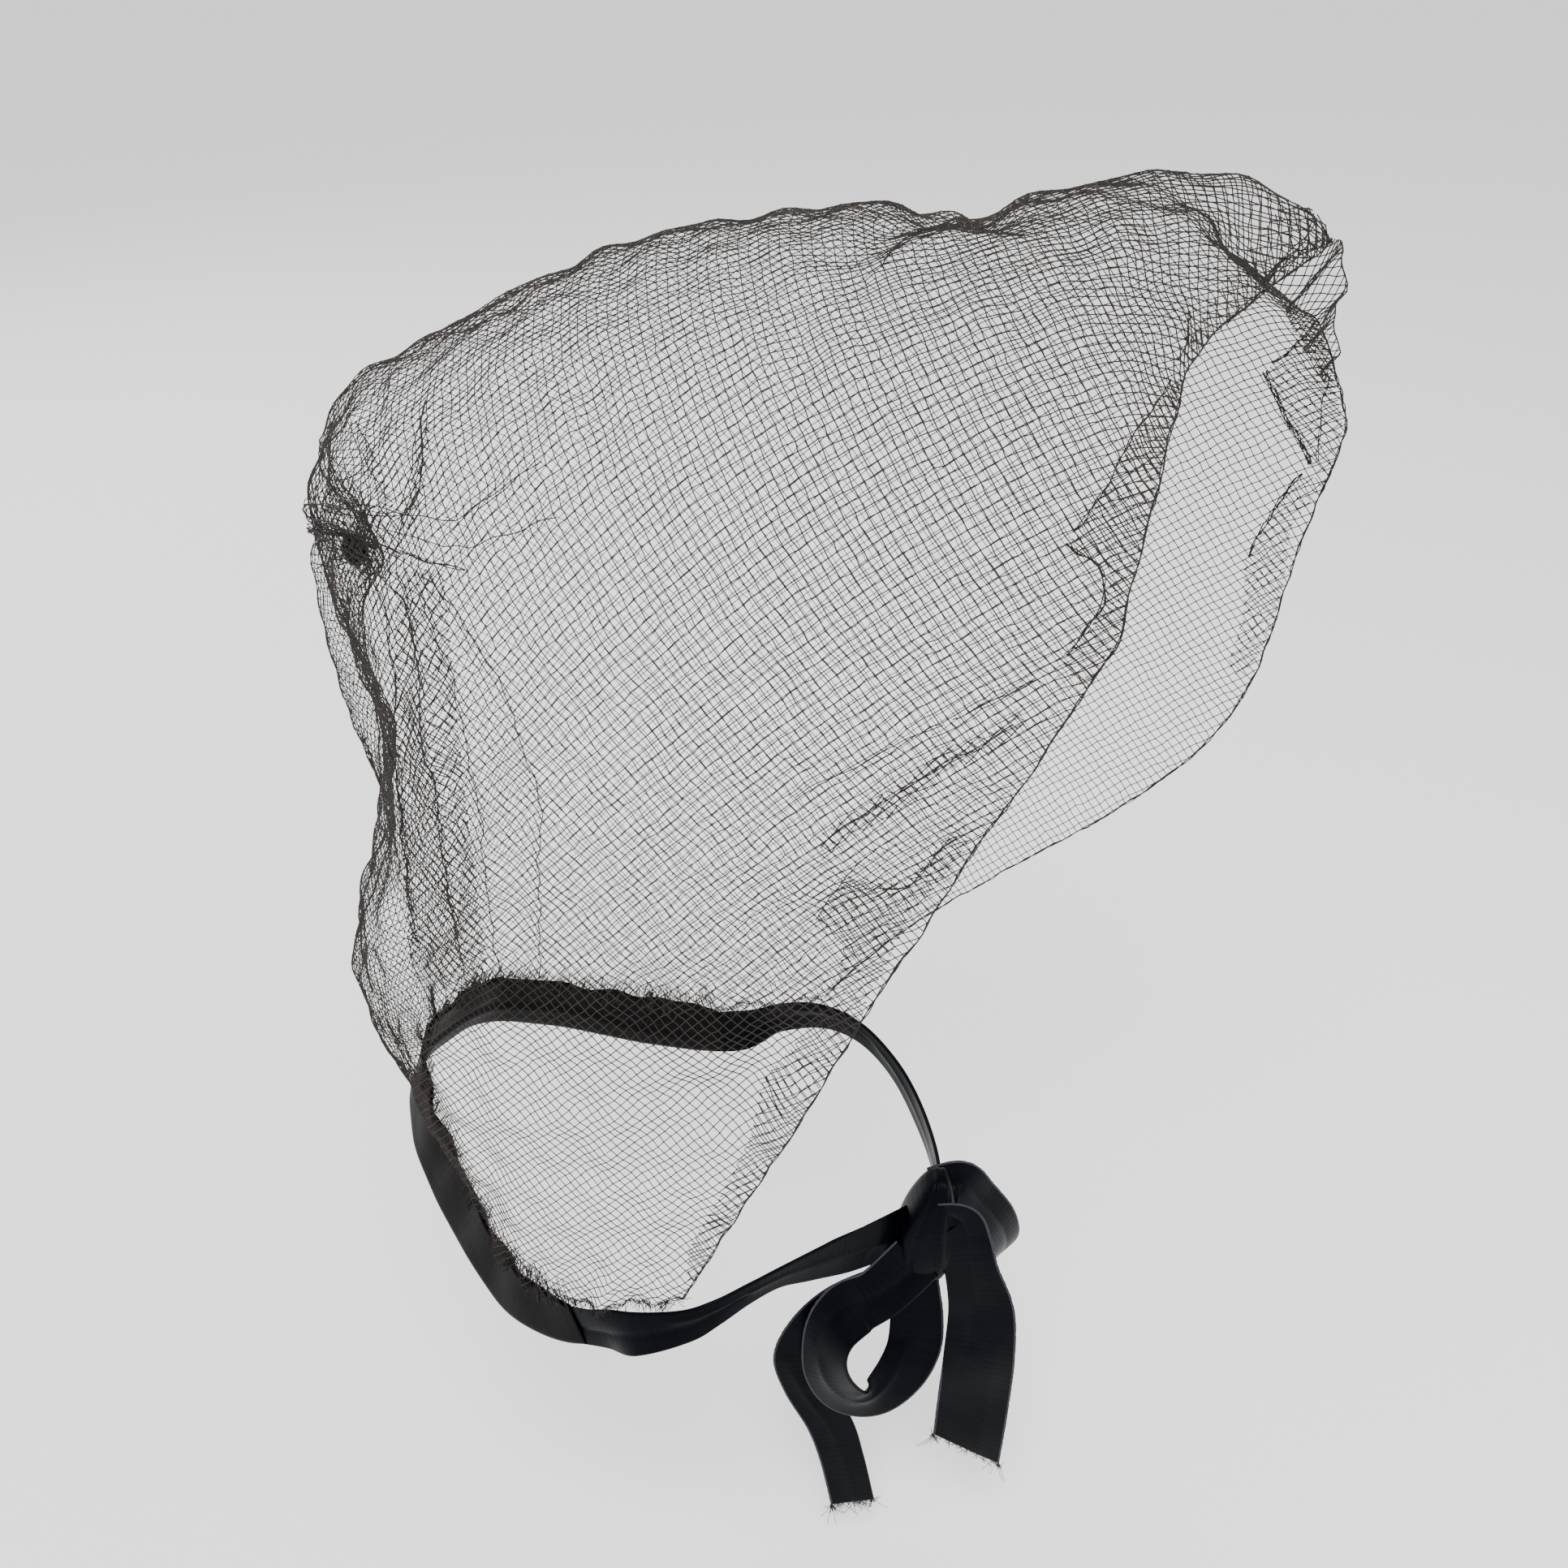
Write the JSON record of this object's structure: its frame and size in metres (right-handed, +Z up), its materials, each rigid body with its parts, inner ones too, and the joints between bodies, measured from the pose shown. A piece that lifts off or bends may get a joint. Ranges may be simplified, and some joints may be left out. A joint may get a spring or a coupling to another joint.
{
  "type": "net hair bonnet with ribbon chin tie",
  "caption": "Fine net hair bonnet with a peaked front edge, gathered into a satin ribbon round the nape that ties in a bow under the chin.",
  "frame": {"origin": "top of the crown, under the net, where the wearer's head holds the bonnet", "axes": "+Z up, the face opening looks along -Y, the wearer's right is -X"},
  "size_m": [0.1772, 0.2989, 0.4473],
  "materials": {
    "net": "black-brown knotted thread net, matt",
    "satin": "black satin ribbon, soft blue-black sheen"
  },
  "bodies": {
    "root": {"net_hood": "net", "gather_knot": "net", "nape_band": "satin", "tie_right": "satin", "tie_left": "satin", "bow_knot": "satin", "loop_right": "satin", "loop_left": "satin", "tail_right": "satin", "tail_left": "satin"}
  },
  "joints": []
}
